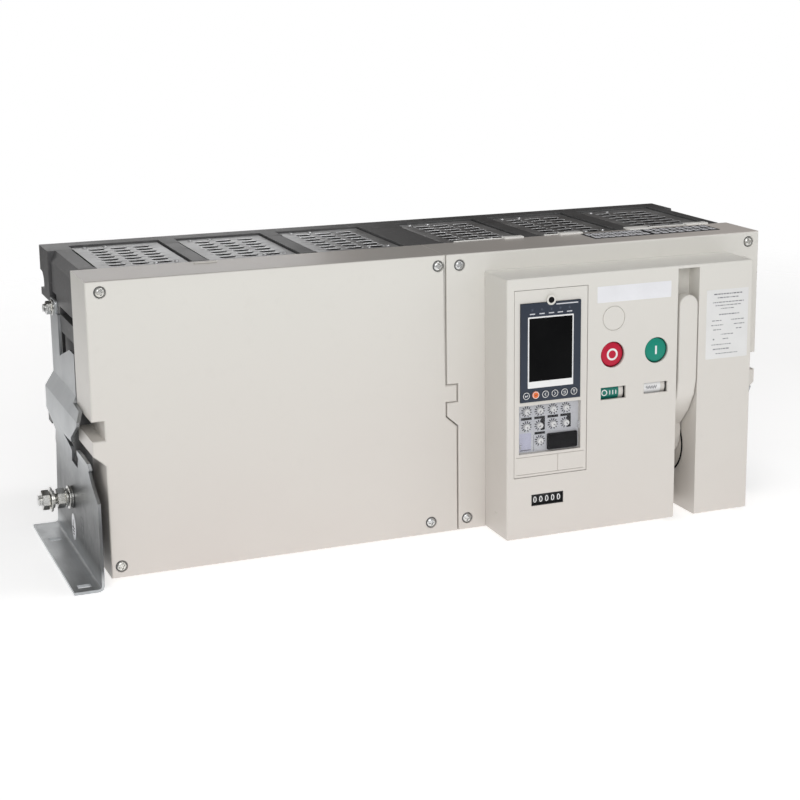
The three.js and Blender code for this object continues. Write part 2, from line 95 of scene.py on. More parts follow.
def grid_faces(rows, cols, ring_rows=False, ring_cols=False):
    """Quads between neighbouring points of a rows by cols table; a ring closes on itself."""
    row = np.arange(rows if ring_rows else rows - 1)
    col = np.arange(cols if ring_cols else cols - 1)
    row, col = np.meshgrid(row, col, indexing="ij")
    down, across = (row + 1) % rows, (col + 1) % cols
    corners = [row * cols + col, row * cols + across, down * cols + across, down * cols + col]
    return np.stack(corners, -1).reshape(-1, 4)


def together(shapes):
    """Several shapes as one: the points follow each other, and the corner numbers move up."""
    points, tables, start = [], [], 0
    for shape_points, shape_tables in shapes:
        points.append(shape_points)
        tables += [table + start for table in shape_tables]
        start += len(shape_points)
    return np.concatenate(points), tables


LATHE_AXES = {
    "x": ((0, 1, 0), (0, 0, 1), (1, 0, 0)),
    "y": ((0, 0, 1), (1, 0, 0), (0, 1, 0)),
    "z": ((1, 0, 0), (0, 1, 0), (0, 0, 1)),
}


def turned(profile, centre, axis="y", steps=32, ring=False):
    """A lathe shape: point (i, j) is the profile's (radius, height) i carried to angle j. A
    profile either starts and ends on the axis or, as a ring, closes on itself."""
    u, v, along = np.array(LATHE_AXES[axis], float)
    radius, height = np.array(profile, float).T
    angle = np.arange(steps) * 2 * math.pi / steps
    spokes = np.cos(angle)[:, None] * u + np.sin(angle)[:, None] * v
    points = np.array(centre) + radius[:, None, None] * spokes + height[:, None, None] * along
    return points.reshape(-1, 3), [grid_faces(len(profile), steps, ring, True)]


# A drawing plane gives the places of (across, up, depth) in x, y, z.
PLANES = {"front": (0, 2, 1), "top": (0, 1, 2), "side": (1, 2, 0)}


def stood(across, up, depth, plane):
    """Points of a drawing plane as x, y, z."""
    across, up, depth = np.broadcast_arrays(across, up, depth)
    points = np.empty(across.shape + (3,))
    for values, place in zip((across, up, depth), PLANES[plane]):
        points[..., place] = values
    return points


def rounded_outline(x0, x1, z0, z1, radius, steps=5):
    """A rectangle with round corners: a quarter circle about each corner's centre in turn."""
    quarter = np.linspace(0, math.pi / 2, steps + 1)
    centres = [(x1 - radius, z1 - radius), (x0 + radius, z1 - radius),
               (x0 + radius, z0 + radius), (x1 - radius, z0 + radius)]
    return np.concatenate([
        np.column_stack([cx + radius * np.cos(quarter + k * math.pi / 2),
                         cz + radius * np.sin(quarter + k * math.pi / 2)])
        for k, (cx, cz) in enumerate(centres)
    ])


def round_outline(x, z, radius, steps=32, start=0.0):
    """A circle, or with few steps a regular polygon."""
    angle = start + np.arange(steps) * 2 * math.pi / steps
    return np.column_stack([x + radius * np.cos(angle), z + radius * np.sin(angle)])


def carried(outline, section, plane="front", closed=True):
    """A section carried round an outline: point (i, j) is outline point i moved inwards by
    section j's first number along the outline's normal, at section j's second number in
    depth. An open section gets a flat face over each end."""
    outline, section = np.array(outline, float), np.array(section, float)
    along = np.roll(outline, -1, 0) - np.roll(outline, 1, 0)
    along /= np.linalg.norm(along, axis=1)[:, None]
    inwards = np.column_stack([-along[:, 1], along[:, 0]])
    flat = outline[:, None] + section[None, :, :1] * inwards[:, None]
    points = stood(flat[..., 0], flat[..., 1], section[None, :, 1], plane).reshape(-1, 3)
    count, depth = len(outline), len(section)
    tables = [grid_faces(count, depth, True, closed)]
    if not closed:
        rim = np.arange(count) * depth
        tables += [rim[None, :], rim[None, ::-1] + depth - 1]
    return points, tables


def slab(outline, back, front, edge=0.3, plane="front", steps=3):
    """A flat piece with a round front edge: a straight wall, then a quarter circle inwards."""
    turn = np.linspace(0, math.pi / 2, steps + 1)
    out = math.copysign(edge, front - back)
    section = np.column_stack([
        np.append(0, edge * (1 - np.cos(turn))),
        np.append(back, front - out * (1 - np.sin(turn))),
    ])
    return carried(outline, section, plane, closed=False)


def stroke(path, width, back, front, plane="front", closed=False):
    """A flat line: a rectangle carried along a path, half the width to each side of it."""
    path = np.array(path, float)
    if closed:
        along = np.roll(path, -1, 0) - np.roll(path, 1, 0)
    else:
        along = np.gradient(path, axis=0)
    along /= np.linalg.norm(along, axis=1)[:, None]
    side = np.column_stack([-along[:, 1], along[:, 0]]) * width / 2
    reach = np.array([-1, -1, 1, 1])
    depth = np.array([back, front, front, back])
    flat = path[:, None] + reach[None, :, None] * side[:, None]
    points = stood(flat[..., 0], flat[..., 1], depth[None, :], plane).reshape(-1, 3)
    tables = [grid_faces(len(path), 4, closed, True)]
    if not closed:
        tables += [np.array([[0, 1, 2, 3]]), np.array([[3, 2, 1, 0]]) + 4 * (len(path) - 1)]
    return points, tables


def block(low, high, radius, steps=3):
    """A box with round edges: a ball's eight octants moved apart to the box's corners."""
    low, high = np.array(low, float), np.array(high, float)
    centre, half = (low + high) / 2, (high - low) / 2 - radius
    quarter = np.linspace(0, math.pi / 2, steps + 1)
    turn = np.concatenate([quarter + k * math.pi / 2 for k in range(4)])
    tilt = np.concatenate([quarter - math.pi / 2, quarter])
    corner = np.repeat(np.arange(4), steps + 1)
    side_x, side_y = np.array([1, -1, -1, 1])[corner], np.array([1, 1, -1, -1])[corner]
    side_z = np.repeat([-1, 1], steps + 1)
    tilt, turn = tilt[:, None], turn[None, :]
    points = np.stack(np.broadcast_arrays(
        centre[0] + side_x * half[0] + radius * np.cos(tilt) * np.cos(turn),
        centre[1] + side_y * half[1] + radius * np.cos(tilt) * np.sin(turn),
        centre[2] + side_z[:, None] * half[2] + radius * np.sin(tilt),
    ), -1)
    rows, cols = points.shape[:2]
    pole = np.arange(4) * (steps + 1)
    tables = [grid_faces(rows, cols, False, True), pole[None, ::-1],
              pole[None, :] + (rows - 1) * cols]
    return points.reshape(-1, 3), tables


def pan_head(x, z, turn, seat=1.8, crown=-1.0, radius=4.9):
    """A pan head with a cross recess. A square grid (s, t) is drawn out to a disc, x = s times
    the root of 1 - t squared / 2 and the same for z. The depth is a flat dome, plus a
    cross that is deepest where s or t is near zero."""
    fine = np.linspace(-0.24, 0.24, 13)
    line = np.concatenate([[-1, -0.97, -0.9, -0.78, -0.66, -0.56, -0.46, -0.34], fine])
    line = np.concatenate([line, -line[7::-1]])
    s, t = np.meshgrid(line, line, indexing="ij")
    across, up = s * np.sqrt(1 - t * t / 2), t * np.sqrt(1 - s * s / 2)
    far = np.hypot(across, up)
    depth = crown + 1.5 * far ** 5 + 0.25 * far ** 2
    narrow, wide = np.minimum(abs(s), abs(t)), np.maximum(abs(s), abs(t))
    arms = np.clip((0.18 - narrow) / 0.06, 0, 1) * np.clip((0.62 - wide) / 0.12, 0, 1)
    bowl = np.clip((0.3 - far) / 0.12, 0, 1)
    depth = depth + 1.3 * np.maximum(arms, bowl)
    c, q = math.cos(turn), math.sin(turn)
    flat_x, flat_z = x + radius * (c * across - q * up), z + radius * (q * across + c * up)
    top = stood(flat_x, flat_z, depth, "front").reshape(-1, 3)
    count = len(line)
    number = np.arange(count * count).reshape(count, count)
    rim = np.concatenate([number[0, :-1], number[:-1, -1], number[-1, :0:-1], number[:0:-1, 0]])
    wall = top[rim].copy()
    wall[:, 1] = seat
    foot = len(top) + np.arange(len(rim))
    walls = np.column_stack([rim, np.roll(rim, -1), np.roll(foot, -1), foot])
    return np.concatenate([top, wall]), [grid_faces(count, count), walls, foot[None, :]]


def threaded(radius, pitch, depth, x0, x1, y, z, steps=20):
    """A threaded rod along x: the radius is a triangle wave of the distance along the rod,
    in pitches, less the angle in turns."""
    along = np.linspace(x0, x1, int((x1 - x0) / pitch * 6) + 1)[:, None]
    angle = (np.arange(steps) * 2 * math.pi / steps)[None, :]
    phase = along / pitch - angle / (2 * math.pi)
    wave = abs(2 * (phase - np.floor(phase)) - 1)
    reach = radius - depth * wave
    reach[[0, -1]] = radius - 2 * depth
    points = np.stack(np.broadcast_arrays(
        along, y + reach * np.cos(angle), z + reach * np.sin(angle)), -1)
    rim = np.arange(steps)
    last = (len(along) - 1) * steps
    tables = [grid_faces(len(along), steps, False, True), rim[None, ::-1], rim[None, :] + last]
    return points.reshape(-1, 3), tables


def wrapped(shape, drum_y, drum_z, radius):
    """Bends a flat shape on the front plane round a drum along x: height becomes the arc
    length, and depth becomes the distance above the drum."""
    points, tables = shape
    arc = (points[:, 2] - drum_z) / radius
    reach = radius - points[:, 1]
    bent = np.column_stack([
        points[:, 0], drum_y - reach * np.cos(arc), drum_z + reach * np.sin(arc)])
    return bent, tables


# ---- materials ----

class Value:
    """One socket's value on a surface. The operators add Math nodes."""

    def __init__(self, finish, socket):
        self.finish, self.socket = finish, socket

    def maths(self, operation, first, second):
        return self.finish.node("Math", {"operation": operation}, {0: first, 1: second})

    def __add__(self, other):
        return self.maths("ADD", self, other)

    def __radd__(self, other):
        return self.maths("ADD", other, self)

    def __sub__(self, other):
        return self.maths("SUBTRACT", self, other)

    def __rsub__(self, other):
        return self.maths("SUBTRACT", other, self)

    def __mul__(self, other):
        return self.maths("MULTIPLY", self, other)

    def __rmul__(self, other):
        return self.maths("MULTIPLY", other, self)


class Finish:
    """A material being made, or the room that lights it: a tree of nodes."""

    def __init__(self, name, kept="materials", ends="Principled BSDF", place="Object"):
        self.material = getattr(bpy.data, kept).new(name)
        self.material.use_nodes = True
        self.tree = self.material.node_tree
        self.shader = self.tree.nodes[ends]
        self.place = self.node("TexCoord", out=place)

    def node(self, kind, settings=None, inputs=None, out=0):
        """Adds any node: its settings first, then the values or links of its sockets."""
        made = self.tree.nodes.new("ShaderNode" + kind)
        for key, value in (settings or {}).items():
            if key == "stops":
                stops = made.color_ramp.elements
                stops[0].position, stops[-1].position = value[0][0], value[-1][0]
                for position, _ in value[1:-1]:
                    stops.new(position)
                for stop, (_, colour) in zip(stops, value):
                    stop.color = (*colour, 1)
            else:
                setattr(made, key, value)
        for key, value in (inputs or {}).items():
            if isinstance(value, Value):
                self.tree.links.new(value.socket, made.inputs[key])
            else:
                made.inputs[key].default_value = value
        return Value(self, made.outputs[out])

    def stretched(self, x, y, z):
        """The place on the object with each axis scaled, for streaks and brushing."""
        return self.node("Mapping", None, {"Vector": self.place, "Scale": (x, y, z)})

    def noise(self, scale, detail=3.0, place=None, rough=0.55):
        """Cloudy noise from 0 to 1."""
        return self.node("TexNoise", None, {
            "Vector": place or self.place, "Scale": scale, "Detail": detail, "Roughness": rough,
        })

    def cells(self, scale):
        """One random number from 0 to 1 for each crystal-like cell."""
        cell = self.node("TexVoronoi", None, {"Vector": self.place, "Scale": scale}, "Color")
        return self.node("SeparateColor", None, {0: cell}, "Red")

    def along(self, axis, vector=None):
        """The place on the object, or another vector, along one axis."""
        return self.node("SeparateXYZ", None, {0: vector or self.place}, axis)

    def facing(self, axis):
        """How far the surface faces one axis, from -1 to 1."""
        return self.along(axis, self.node("NewGeometry", out="Normal"))

    def span(self, value, low, high, start=0.0, end=1.0):
        """A value's part from low to high, spread from start to end and held there."""
        return self.node("MapRange", None, {0: value, 1: low, 2: high, 3: start, 4: end})

    def mix(self, mask, first, second):
        """The first colour where the mask is 0 and the second where it is 1."""
        def colour(value):
            return value if isinstance(value, Value) else (*value, 1)
        return self.node("Mix", {"data_type": "RGBA"},
                         {0: mask, 6: colour(first), 7: colour(second)}, 2)

    def bump(self, height, distance, strength=1.0, under=None):
        """The normal of a relief this many mm high, over another relief if one is given."""
        inputs = {"Height": height, "Distance": distance * MM, "Strength": strength}
        if under:
            inputs["Normal"] = under
        return self.node("Bump", None, inputs)

    def surface(self, **sockets):
        """Sets or links the shader's sockets, and gives back the material."""
        for key, value in sockets.items():
            socket = self.shader.inputs[key.replace("_", " ")]
            if isinstance(value, Value):
                self.tree.links.new(value.socket, socket)
            elif isinstance(value, tuple):
                socket.default_value = (*value, 1)
            else:
                socket.default_value = value
        return self.material


def shade(colour, factor):
    """A colour made darker or lighter."""
    return tuple(min(1.0, c * factor) for c in colour)


def moulded(name, colour, rough=0.45, grain=0.05, vary=0.04, coat=0.0, shine=0.5):
    """Moulded plastic: clouded colour, a fine spark-eroded grain and slight handling marks."""
    f = Finish(name)
    cloud = f.span(f.noise(7.0, 3.0), 0.3, 0.7)
    fine = f.noise(2400.0, 2.0)
    marks = f.span(f.noise(38.0, 5.0, rough=0.65), 0.52, 0.75)
    tone = f.mix(cloud, shade(colour, 1 - vary), shade(colour, 1 + vary))
    tone = f.mix(marks * 0.25, tone, shade(colour, 1 - 2.2 * vary))
    under = f.bump(f.noise(14.0, 2.0), 0.15, 0.15)
    return f.surface(
        Base_Color=tone,
        Roughness=rough + marks * 0.08 + fine * 0.06 - 0.03,
        Normal=f.bump(fine, grain, 0.6, under),
        Coat_Weight=coat,
        Coat_Roughness=0.12,
        Specular_IOR_Level=shine,
    )


def cover_plastic():
    """Painted cover: warm light grey, a touch darker and pinker towards the bottom. The upward
    faces of its top carry a painted shade, lighter towards the right end, standing in for the
    roof's reflections."""
    f = Finish("cover_plastic")
    height = f.along("Z")
    low = f.span(height, 0.0, 0.29, 1.0, 0.0)
    cloud = f.span(f.noise(5.0, 3.0), 0.3, 0.7)
    fine = f.noise(1500.0, 3.0)
    tone = f.mix(low, (0.735, 0.720, 0.676), (0.615, 0.566, 0.530))
    tone = f.mix(cloud * 0.3, tone, (0.70, 0.685, 0.64))
    dust = f.span(f.noise(60.0, 6.0, rough=0.7), 0.56, 0.8)
    tone = f.mix(dust * 0.12, tone, (0.55, 0.53, 0.49))
    # Painted shade: the upward faces of the top are painted darker, less so towards the right end,
    # in place of the roof's reflections.
    level = f.span(f.facing("Z"), 0.6, 0.95)
    on_top = f.span(height, 0.300, 0.306)
    right = f.span(f.along("X"), 0.12, 0.34)
    film = f.mix(cloud, (0.385, 0.368, 0.345), (0.415, 0.372, 0.345))
    film = f.mix(right, film, (0.68, 0.63, 0.59))
    tone = f.mix(level * on_top * 0.9, tone, film)
    return f.surface(
        Base_Color=tone,
        Roughness=0.32 + fine * 0.10 + dust * 0.08,
        Normal=f.bump(fine, 0.05, 0.5, f.bump(f.noise(9.0, 2.0), 0.3, 0.12)),
        Coat_Weight=0.10,
        Coat_Roughness=0.15,
        Specular_IOR_Level=0.35,
    )


def housing_compound():
    """Fibre-filled moulding compound: dark grey with flow clouds and short pale fibres."""
    f = Finish("housing_compound")
    cloud = f.span(f.noise(11.0, 5.0, rough=0.6), 0.3, 0.72)
    fibre = f.span(f.noise(90.0, 4.0, f.stretched(1.0, 5.0, 2.0)), 0.56, 0.72)
    cross = f.span(f.noise(90.0, 4.0, f.stretched(5.0, 1.0, 2.0)), 0.58, 0.72)
    pits = f.noise(700.0, 3.0)
    tone = f.mix(cloud, (0.048, 0.048, 0.050), (0.085, 0.085, 0.086))
    tone = f.mix((fibre + cross) * 0.35, tone, (0.17, 0.17, 0.168))
    return f.surface(
        Base_Color=tone,
        Roughness=0.34 + cloud * 0.14 + pits * 0.08,
        Normal=f.bump(pits, 0.12, 0.5, f.bump(cloud, 0.3, 0.2)),
        Specular_IOR_Level=0.55,
    )


def zinc_sheet(name, colour, stretch, rough):
    """Galvanised sheet: rolled streaks along one direction, faint spangle cells and stains.
    From above the foot to below the ridge it is painted much darker, a painted shade, and it evens
    out above the ridge."""
    f = Finish(name)
    streak = f.span(f.noise(26.0, 6.0, f.stretched(*stretch), 0.65), 0.3, 0.7)
    hair = f.noise(240.0, 3.0, f.stretched(*stretch))
    spangle = f.cells(120.0)
    stain = f.span(f.noise(16.0, 5.0, rough=0.62), 0.45, 0.8)
    tone = f.mix(streak, shade(colour, 0.86), shade(colour, 1.12))
    tone = f.mix(spangle * 0.16, tone, shade(colour, 1.25))
    tone = f.mix(stain * 0.35, tone, shade((colour[0] * 0.94, colour[1], colour[2] * 1.04), 0.62))
    height = f.along("Z")
    above_foot = f.span(height, 0.010, 0.022)
    below_ridge = f.span(height, 0.065, 0.125, 1.0, 0.0)
    # Painted shade: between the foot and the ridge the sheet is painted at a fifth of its colour.
    tone = f.mix(above_foot * below_ridge * 0.9, tone, shade(colour, 0.2))
    tone = f.mix(f.span(height, 0.10, 0.14) * 0.5, tone, colour)
    return f.surface(
        Base_Color=tone,
        Metallic=0.92,
        Roughness=rough + streak * 0.10 + stain * 0.10 + spangle * 0.05,
        Normal=f.bump(hair, 0.05, 0.35),
    )


def bright_metal(name, colour, rough, tint=(0.80, 0.76, 0.62), fine=500.0):
    """Plated steel: a clear metal with thin passivation tints and small scuffs."""
    f = Finish(name)
    film = f.span(f.noise(55.0, 3.0), 0.35, 0.7)
    scuff = f.span(f.noise(320.0, 5.0, rough=0.7), 0.5, 0.75)
    tone = f.mix(film * 0.35, colour, tint)
    tone = f.mix(scuff * 0.35, tone, shade(colour, 0.55))
    return f.surface(
        Base_Color=tone,
        Metallic=1.0,
        Roughness=rough + scuff * 0.16 + film * 0.05,
        Normal=f.bump(f.noise(fine, 4.0), 0.04, 0.35),
    )


def vent_metal():
    """Rolled steel of the vent caps: long fine scratches and grey bloom, a painted shade inside
    the louvres and a painted highlight on the faces that look to the front, the cut edges among
    them."""
    f = Finish("vent_metal")
    scratch = f.noise(60.0, 5.0, f.stretched(1.0, 14.0, 1.0), 0.7)
    bloom = f.span(f.noise(22.0, 5.0, rough=0.6), 0.35, 0.7)
    tone = f.mix(bloom, (0.38, 0.385, 0.39), (0.54, 0.545, 0.55))
    tone = f.mix(f.span(scratch, 0.55, 0.75) * 0.4, tone, (0.62, 0.62, 0.63))
    # Painted shade: below the top of the sheet, the faces that don't look to the front are painted
    # near black.
    louvre_shade = f.span(f.along("Z"), TOP_HEIGHT - 0.9 * MM, TOP_HEIGHT - 0.1 * MM, 1.0, 0.0)
    not_facing_front = f.span(f.facing("Y"), -0.8, -0.5)
    tone = f.mix(louvre_shade * not_facing_front * 0.95, tone, (0.010, 0.010, 0.010))
    # Painted highlight: the faces that look to the front are painted bright.
    tone = f.mix(not_facing_front, (0.72, 0.72, 0.73), tone)
    return f.surface(
        Base_Color=tone,
        Metallic=0.88,
        Roughness=0.30 + bloom * 0.12 + scratch * 0.08,
        Normal=f.bump(scratch, 0.05, 0.4),
    )


def printed(name, colour, rough=0.5):
    """Screen print or label stock: flat colour with a paper-fine mottle."""
    f = Finish(name)
    mottle = f.noise(1800.0, 3.0)
    cloud = f.span(f.noise(45.0, 3.0), 0.3, 0.7)
    tone = f.mix(mottle * 0.5 + cloud * 0.3, shade(colour, 1.05), shade(colour, 0.88))
    return f.surface(
        Base_Color=tone, Roughness=rough + mottle * 0.1, Normal=f.bump(mottle, 0.02, 0.4))


def screen_glass():
    """Dark display glass: near black, with the faint dot rows of an unlit panel."""
    f = Finish("screen_glass")
    rows = f.node("TexWave", {"wave_type": "BANDS", "bands_direction": "Z"},
                  {"Vector": f.place, "Scale": 420.0, "Distortion": 0.0}, "Fac")
    haze = f.span(f.noise(30.0, 3.0), 0.3, 0.7)
    tone = f.mix(rows * 0.5 + haze * 0.5, (0.003, 0.003, 0.0035), (0.0075, 0.0078, 0.008))
    return f.surface(Base_Color=tone, Roughness=0.3 + haze * 0.06, Specular_IOR_Level=0.03)


def clear_plastic(name, alpha, colour=(0.06, 0.06, 0.065)):
    """Clear polycarbonate: mostly see-through, with a faint haze and rubbing marks."""
    f = Finish(name)
    rub = f.span(f.noise(120.0, 5.0, f.stretched(1, 1, 3), 0.7), 0.5, 0.8)
    haze = f.span(f.noise(25.0, 3.0), 0.35, 0.7)
    return f.surface(
        Base_Color=f.mix(haze, colour, shade(colour, 1.6)),
        Alpha=alpha + rub * 0.04 + haze * 0.02,
        Roughness=0.07 + rub * 0.15,
        Normal=f.bump(f.noise(40.0, 2.0), 0.1, 0.1),
        Coat_Weight=0.5,
        Coat_Roughness=0.04,
    )


BUTTON = {"rough": 0.34, "grain": 0.015, "vary": 0.06, "coat": 0.1, "shine": 0.3}
LOOKS = {
    "cover_plastic": cover_plastic(),
    "housing_dmc": housing_compound(),
    "galvanised_sheet": zinc_sheet("galvanised_sheet", (0.47, 0.485, 0.495),
                                   stretch=(6, 1, 0.35), rough=0.30),
    "zinc_steel": bright_metal("zinc_steel", (0.66, 0.665, 0.67), rough=0.18),
    "tinned_copper": bright_metal("tinned_copper", (0.70, 0.69, 0.66), rough=0.3,
                                  tint=(0.66, 0.50, 0.36)),
    "black_resin": moulded("black_resin", (0.014, 0.014, 0.015), rough=0.42, grain=0.06,
                           vary=0.2),
    "navy_bezel": moulded("navy_bezel", (0.011, 0.020, 0.040), rough=0.32, grain=0.02,
                          vary=0.12, coat=0.15),
    "orange_key": moulded("orange_key", (0.78, 0.16, 0.035), rough=0.35, grain=0.02,
                          vary=0.06, coat=0.1),
    "red_button": moulded("red_button", (0.50, 0.004, 0.034), **BUTTON),
    "green_button": moulded("green_button", (0.002, 0.235, 0.165), **BUTTON),
    "green_flag": moulded("green_flag", (0.005, 0.17, 0.13), rough=0.4, grain=0.02, vary=0.06),
    "white_print": printed("white_print", (0.84, 0.84, 0.84)),
    "clear_plastic": clear_plastic("clear_plastic", alpha=0.06),
}
VENT_METAL = vent_metal()
BLACK_PRINT = printed("black_print", (0.007, 0.007, 0.010), rough=0.55)
BLACK_CAP = moulded("black_cap", (0.004, 0.004, 0.005), rough=0.5, vary=0.2, shine=0.12)
GREY_PRINT = printed("grey_print", (0.20, 0.20, 0.22))
LABEL_STOCK = printed("label_stock", (0.82, 0.825, 0.855), rough=0.3)
BAY_PRINT = printed("bay_print", (0.63, 0.64, 0.68), rough=0.45)
FOIL_STOCK = printed("foil_stock", (0.765, 0.765, 0.76), rough=0.4)
LILAC_PRINT = printed("lilac_print", (0.56, 0.565, 0.70), rough=0.45)
# Dark grey for the stamped mark, and a painted shade on the cover screws' washers.
STAMPING_AND_WELL_SHADE = printed("stamping_and_well_shade", (0.10, 0.105, 0.11), rough=0.45)
SCREEN_GLASS = screen_glass()
WHITE_CLIP = moulded("white_clip", (0.80, 0.79, 0.76), rough=0.4, grain=0.03)
CLEAR_EDGE = clear_plastic("clear_edge", alpha=0.4, colour=(0.42, 0.43, 0.45))
LAMP_LENS = moulded("lamp_lens", (0.030, 0.045, 0.075), rough=0.15, grain=0.01, vary=0.1,
                    coat=0.6)


# ---- pieces ----

def finished(mesh, name, material, body, slot, smooth=35.0, merge=1e-7):
    """Cleans a mesh, turns its faces outwards and makes it a piece that rides on a body."""
    work = bmesh.new()
    work.from_mesh(mesh)
    bmesh.ops.remove_doubles(work, verts=work.verts, dist=merge)
    bmesh.ops.dissolve_degenerate(work, edges=work.edges, dist=merge)
    bmesh.ops.recalc_face_normals(work, faces=work.faces)
    work.to_mesh(mesh)
    work.free()
    mesh.shade_smooth()
    mesh.set_sharp_from_angle(angle=math.radians(smooth))
    mesh.materials.clear()
    mesh.materials.append(material or LOOKS[slot])
    piece = bpy.data.objects.new(name, mesh)
    bpy.context.scene.collection.objects.link(piece)
    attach(piece, body)
    return piece


def made(name, shapes, slot=None, material=None, body="housing", smooth=35.0):
    """A piece from one or more computed shapes."""
    points, tables = together(shapes)
    mesh = bpy.data.meshes.new(name)
    corners = np.concatenate([table.ravel() for table in tables])
    sizes = np.concatenate([np.full(len(table), table.shape[1]) for table in tables])
    mesh.vertices.add(len(points))
    mesh.vertices.foreach_set("co", (points * MM + CORNER).ravel())
    mesh.loops.add(len(corners))
    mesh.loops.foreach_set("vertex_index", corners)
    mesh.polygons.add(len(sizes))
    mesh.polygons.foreach_set("loop_start", np.cumsum(sizes) - sizes)
    mesh.update(calc_edges=True)
    return finished(mesh, name, material, body, slot, smooth)


def softened(node, slot, rounds, material=None, keep_sharp=28.0):
    """A merged copy of a CAD node with round edges, standing for it. Each round is a test of
    an edge's middle, then the radius and the number of steps. Lengths are in mm."""
    source = frame["nodes"][node]
    mesh = source.data.copy()
    mesh.name = node + "_finish"
    if "custom_normal" in mesh.attributes:
        mesh.attributes.remove(mesh.attributes["custom_normal"])
    work = bmesh.new()
    work.from_mesh(mesh)
    bmesh.ops.remove_doubles(work, verts=work.verts, dist=2e-6)
    bmesh.ops.dissolve_limit(work, angle_limit=math.radians(0.6), verts=work.verts,
                             edges=work.edges)
    for chosen, radius, steps in rounds:
        sharp = []
        for edge in work.edges:
            if len(edge.link_faces) != 2 or not edge.is_convex:
                continue
            if math.degrees(edge.calc_face_angle(0)) < keep_sharp:
                continue
            ends = [np.array(v.co) / MM - CORNER / MM for v in edge.verts]
            if chosen((ends[0] + ends[1]) / 2):
                sharp.append(edge)
        if sharp:
            bmesh.ops.bevel(work, geom=sharp, offset=radius * MM, segments=steps, profile=0.5,
                            affect="EDGES", clamp_overlap=True)
    work.to_mesh(mesh)
    work.free()
    mesh.validate()
    piece = finished(mesh, node + "_finish", material, source["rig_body"], slot, keep_sharp, 1e-8)
    weigh = piece.modifiers.new("flat faces stay flat", "WEIGHTED_NORMAL")
    weigh.keep_sharp = True
    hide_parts(node)
    return piece


def every(mid):
    """Every edge is rounded."""
    return True


for node, shown in frame["nodes"].items():
    slot = next(part["material_slot"] for part in frame["record"]["subparts"]
                if part["node"] == node)
    shown.data.materials.clear()
    shown.data.materials.append(LOOKS[slot])


# ---- covers ----

SCREWS = [(14.2, 289), (364, 288.7), (22.6, 12), (354, 13), (388, 288), (395.6, 12.7),
          (737.4, 289)]
WELL_RADIUS = 6.4


def in_well(mid):
    """Whether an edge is at a screw's well."""
    return any(math.hypot(mid[0] - x, mid[2] - z) < WELL_RADIUS for x, z in SCREWS)


def well_edge(mid):
    """The front edges of the screws' wells."""
    return mid[1] < ON_PLANE and in_well(mid)


def cover_edge(mid):
    """The covers' front edges, but not those of the opening behind the fascia."""
    in_opening = 423 < mid[0] < 703 and 5 < mid[2] < 273
    return mid[1] < ON_PLANE and not in_well(mid) and not in_opening


def on_fascia_front(mid):
    """The edges on the fascia's front face, those of its windows, holes and slot included."""
    return abs(mid[1] - FASCIA_FRONT) < ON_PLANE


def fascia_rim(mid):
    """The fascia's outer front edges and its corners to the rear."""
    at_x = min(abs(mid[0] - FASCIA_LOW[0]), abs(mid[0] - FASCIA_HIGH[0])) < 2 * ON_PLANE
    at_z = min(abs(mid[2] - FASCIA_LOW[2]), abs(mid[2] - FASCIA_HIGH[2])) < 2 * ON_PLANE
    return (at_x or at_z) and on_fascia_front(mid) or (at_x and at_z)


for cover in ("left_cover", "front_plate"):
    softened(cover, "cover_plastic", [(well_edge, 0.45, 2), (cover_edge, 2.2, 4)])
softened("fascia", "cover_plastic", [(fascia_rim, 2.0, 4), (on_fascia_front, 0.35, 2)])

rng = np.random.default_rng(11)
for number, (x, z) in enumerate(SCREWS, 1):
    made(f"cover_screw_{number}", [pan_head(x, z, rng.uniform(0, math.pi))], "zinc_steel")
    # Each screw's washer is dark grey, a painted shade for the dark ring round the head in its
    # well.
    well_shade_ring = [(3, 1.75), (5.7, 1.75), (5.8, 1.5), (5.7, 1.25), (3, 1.25)]
    made(f"cover_screw_shaded_washer_{number}", [turned(well_shade_ring, (x, 0, z), ring=True)],
         material=STAMPING_AND_WELL_SHADE)

# A raised guide on top of the left cover, and a pip and a ledge moulded on the fascia
made("cover_guide", [block((122, 57, 299.5), (146, 60.5, 301.2), 0.8)], "cover_plastic")
made("fascia_pip", [turned([(0, 0.5), (2.4, 0.5), (2.4, -0.5), (1.6, -1), (0, -1)],
                           (416.4, -28.5, 22.7), "x", 20)], "cover_plastic")
made("fascia_ledge", [block((704, -42.5, 279.3), (709, -38, 280.9), 0.6)], "cover_plastic")


# ---- housing, side plates, arc chutes and their vent caps ----

for node in ("front_base", "rear_base"):
    softened(node, "housing_dmc", [(every, 0.5, 2)])
for number in range(1, 7):
    softened(f"arc_chute_{number}", "housing_dmc", [(every, 0.4, 2)])
for node in ("left_side_plate", "right_side_plate"):
    softened(node, "galvanised_sheet", [(every, 0.35, 2)])
for number in range(1, 4):
    softened(f"upper_terminal_{number}", "tinned_copper", [(every, 0.8, 2)])
    softened(f"lower_terminal_{number}", "tinned_copper", [(every, 0.8, 2)])

LOUVRE_X = (-24, 0, 24)
LOUVRE_Y = (98, 115, 132, 149, 166, 183, 200)
LOUVRE_LONG, LOUVRE_WIDE, LOUVRE_DEEP, LOUVRE_SLIT = 9.0, 11.0, 4.2, 0.9
CAP_HALF, CAP_FOLD, SHEET = 46.6, 0.8, 0.8
CAP_FRONT, CAP_BACK = 73.5, 219.5
CAP_SCREWS = ((-12, 210), (-34, 210), (14, 88), (36, 90))
DENTED = 0.3  # a face pressed down further than this, in mm, belongs to a louvre


